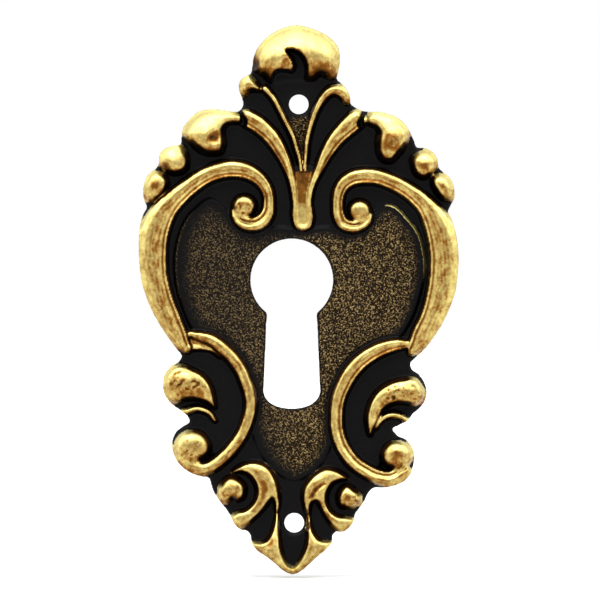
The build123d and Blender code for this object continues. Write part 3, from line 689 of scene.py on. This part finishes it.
def add_node(tree, kind, settings, sockets):
    """Add a shader node, set its fields and set or link its inputs."""
    made = tree.nodes.new("ShaderNode" + kind)
    for name, value in settings.items():
        setattr(made, name, value)
    for name, value in sockets.items():
        if isinstance(value, bpy.types.NodeSocket):
            tree.links.new(value, made.inputs[name])
        else:
            made.inputs[name].default_value = value
    return made


brass = bpy.data.materials.new("antique brass")
brass.use_nodes = True
tree = brass.node_tree
shader = tree.nodes["Principled BSDF"]
shader.inputs["Metallic"].default_value = 1
polished = add_node(tree, "Attribute", {"attribute_name": "polish"}, {}).outputs["Fac"]
pebbly = add_node(tree, "Attribute", {"attribute_name": "pebbles"}, {}).outputs["Fac"]
lacquer_and_light_tone = add_node(tree, "Attribute", {"attribute_name": "lacquer_and_painted_light"}, {}).outputs["Fac"]
spot = add_node(tree, "TexCoord", {}, {}).outputs["Object"]
cloud, speck, grit = (
    add_node(tree, "TexNoise", {}, {
        "Vector": spot, "Scale": 1000 / size, "Detail": detail, "Roughness": roughness,
    }).outputs["Fac"]
    for size, detail, roughness in ((LACQUER_CLOUD, 5, 0.65), (WEAR_SPECK, 2, 0.6), (PEBBLE, 2, 0.5))
)
toned = add_node(tree, "MapRange", {}, {
    "Value": cloud, "From Min": 0.35, "From Max": 0.65, "To Min": -0.28, "To Max": 0.28,
}).outputs["Result"]
dusted = add_node(tree, "MapRange", {}, {
    "Value": speck, "From Min": 0.3, "From Max": 0.7, "To Min": -0.16, "To Max": 0.16,
}).outputs["Result"]
clouded = add_node(tree, "Math", {"operation": "ADD"}, {0: toned, 1: dusted}).outputs["Value"]
tone = add_node(tree, "Math", {"operation": "ADD"}, {0: lacquer_and_light_tone, 1: clouded}).outputs["Value"]
# Low tone gives pale gold, for rubbed places and painted highlights; higher tone gives brown, for lacquer and
# painted shade; the highest gives a near black brown
rubbed_and_highlit = add_node(tree, "MapRange", {}, {
    "Value": tone, "From Min": 0.0, "From Max": 0.35,
}).outputs["Result"]
browned_and_shaded = add_node(tree, "MapRange", {}, {
    "Value": tone, "From Min": 0.35, "From Max": 1.0,
}).outputs["Result"]
bright = add_node(tree, "Mix", {"data_type": "RGBA"}, {
    0: rubbed_and_highlit, 6: colour("#DDCE82"), 7: colour("#C6B16A"),
}).outputs[2]
blackened = add_node(tree, "MapRange", {}, {
    "Value": tone, "From Min": 1.0, "From Max": 1.8,
}).outputs["Result"]
brown = add_node(tree, "Mix", {"data_type": "RGBA"}, {0: browned_and_shaded, 6: bright, 7: colour("#82531E")}).outputs[2]
gold = add_node(tree, "Mix", {"data_type": "RGBA"}, {0: blackened, 6: brown, 7: colour("#21170F")}).outputs[2]
glint = add_node(tree, "MapRange", {}, {"Value": grit, "From Min": 0.5, "From Max": 0.72}).outputs["Result"]
glinted = add_node(tree, "Math", {"operation": "MULTIPLY"}, {0: glint, 1: pebbly}).outputs["Value"]
patina = add_node(tree, "Mix", {"data_type": "RGBA"}, {
    0: cloud, 6: colour("#14161A"), 7: colour("#1B1815"),
}).outputs[2]
ground = add_node(tree, "Mix", {"data_type": "RGBA"}, {0: pebbly, 6: patina, 7: colour("#1E1711")}).outputs[2]
field = add_node(tree, "Mix", {"data_type": "RGBA"}, {0: glinted, 6: ground, 7: colour("#A0875A")}).outputs[2]
ragged = add_node(tree, "MapRange", {}, {"Value": speck, "To Min": -0.5, "To Max": 0.5}).outputs["Result"]
rubbed = add_node(tree, "Math", {"operation": "ADD"}, {0: polished, 1: ragged}).outputs["Value"]
shown = add_node(tree, "MapRange", {}, {
    "Value": rubbed, "From Min": 0.38, "From Max": 0.58,
}).outputs["Result"]
skin = add_node(tree, "Mix", {"data_type": "RGBA"}, {0: shown, 6: field, 7: gold}).outputs[2]
sheen = add_node(tree, "MapRange", {}, {"Value": shown, "To Min": 0.45, "To Max": 0.38}).outputs["Result"]
rough = add_node(tree, "MapRange", {}, {
    "Value": cloud, "From Min": 0.3, "From Max": 0.7, "To Min": -0.05, "To Max": 0.07,
}).outputs["Result"]
gloss = add_node(tree, "Math", {"operation": "ADD"}, {0: sheen, 1: rough}).outputs["Value"]
pebble_bump = add_node(tree, "Math", {"operation": "MULTIPLY"}, {0: grit, 1: pebbly}).outputs["Value"]
grained = add_node(tree, "Bump", {}, {
    "Height": pebble_bump, "Strength": 0.8, "Distance": 0.0003,
}).outputs["Normal"]
worn = add_node(tree, "Bump", {}, {
    "Height": speck, "Strength": 0.35, "Distance": 0.00005, "Normal": grained,
}).outputs["Normal"]
for name, socket in (("Base Color", skin), ("Roughness", gloss), ("Normal", worn)):
    tree.links.new(socket, shader.inputs[name])
plate_mesh.materials.append(brass)
plate = bpy.data.objects.new("escutcheon", plate_mesh)
bpy.context.collection.objects.link(plate)
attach(plate, "root")
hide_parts("escutcheon_plate")

# Floor: a plain white table top just below the point of the escutcheon.
# White paper, matt and even, so that only the soft shadow shows on it.
FLOOR_GAP = 0.0003
bpy.ops.mesh.primitive_plane_add(size=8, location=(0, 0, cad_box[0][2] - FLOOR_GAP))
floor = bpy.context.object
floor.name = "floor"
paper = bpy.data.materials.new("white paper")
paper.use_nodes = True
paper.node_tree.nodes["Principled BSDF"].inputs["Base Color"].default_value = colour("#DEDEDC")
paper.node_tree.nodes["Principled BSDF"].inputs["Roughness"].default_value = 0.9
floor.data.materials.append(paper)

# Light: a white studio, brightest overhead and dim only at the camera's side, with one soft lamp.
# The background behind the escutcheon is plain white.
world = bpy.data.worlds.new("studio")
bpy.context.scene.world = world
world.use_nodes = True
tree = world.node_tree
way = add_node(tree, "SeparateXYZ", {}, {0: add_node(tree, "TexCoord", {}, {}).outputs["Generated"]})
around = add_node(tree, "MapRange", {"interpolation_type": "SMOOTHSTEP"}, {
    "Value": way.outputs["Z"], "From Min": -0.1, "From Max": 0.65, "To Min": 1.1, "To Max": 2.8,
}).outputs["Result"]
aside = add_node(tree, "MapRange", {"interpolation_type": "SMOOTHSTEP"}, {
    "Value": way.outputs["Y"], "From Min": -0.92, "From Max": -0.45,
}).outputs["Result"]
sides = add_node(tree, "Mix", {"data_type": "FLOAT"}, {0: aside, 2: 0.3, 3: around}).outputs[0]
overhead = add_node(tree, "MapRange", {"interpolation_type": "SMOOTHSTEP"}, {
    "Value": way.outputs["Z"], "From Min": 0.15, "From Max": 0.65, "To Min": 0.3, "To Max": 2.8,
}).outputs["Result"]
in_front = add_node(tree, "Math", {"operation": "MAXIMUM"}, {0: sides, 1: overhead}).outputs["Value"]
behind = add_node(tree, "MapRange", {"interpolation_type": "SMOOTHSTEP"}, {
    "Value": way.outputs["Y"], "From Min": -0.1, "From Max": 0.5,
}).outputs["Result"]
strength = add_node(tree, "Mix", {"data_type": "FLOAT"}, {0: behind, 2: in_front, 3: 1.0}).outputs[0]
tree.links.new(strength, tree.nodes["Background"].inputs["Strength"])
tree.nodes["Background"].inputs["Color"].default_value = (1, 1, 1, 1)
lamp = bpy.data.lights.new("overhead lamp", "AREA")
lamp.energy = 1.0
lamp.size = 0.35
lamp_object = bpy.data.objects.new("overhead lamp", lamp)
lamp_object.location = (-0.1, -0.35, 0.5)
lamp_object.rotation_euler = (radians(35), 0, radians(-16))
bpy.context.collection.objects.link(lamp_object)

# Camera: straight in front, with a long lens. Its distance and the width that it sees are in metres.
VIEW_DISTANCE = 0.9
VIEW_WIDTH = 0.06109
camera = bpy.data.cameras.new("camera")
camera.sensor_width = 36
camera.lens = camera.sensor_width * VIEW_DISTANCE / VIEW_WIDTH
camera.clip_start = 0.01
camera_object = bpy.data.objects.new("camera", camera)
camera_object.location = (0.000835, -VIEW_DISTANCE, -0.00204)
camera_object.rotation_euler = (radians(90), 0, 0)
bpy.context.collection.objects.link(camera_object)
bpy.context.scene.camera = camera_object
bpy.context.scene.view_settings.view_transform = "Standard"
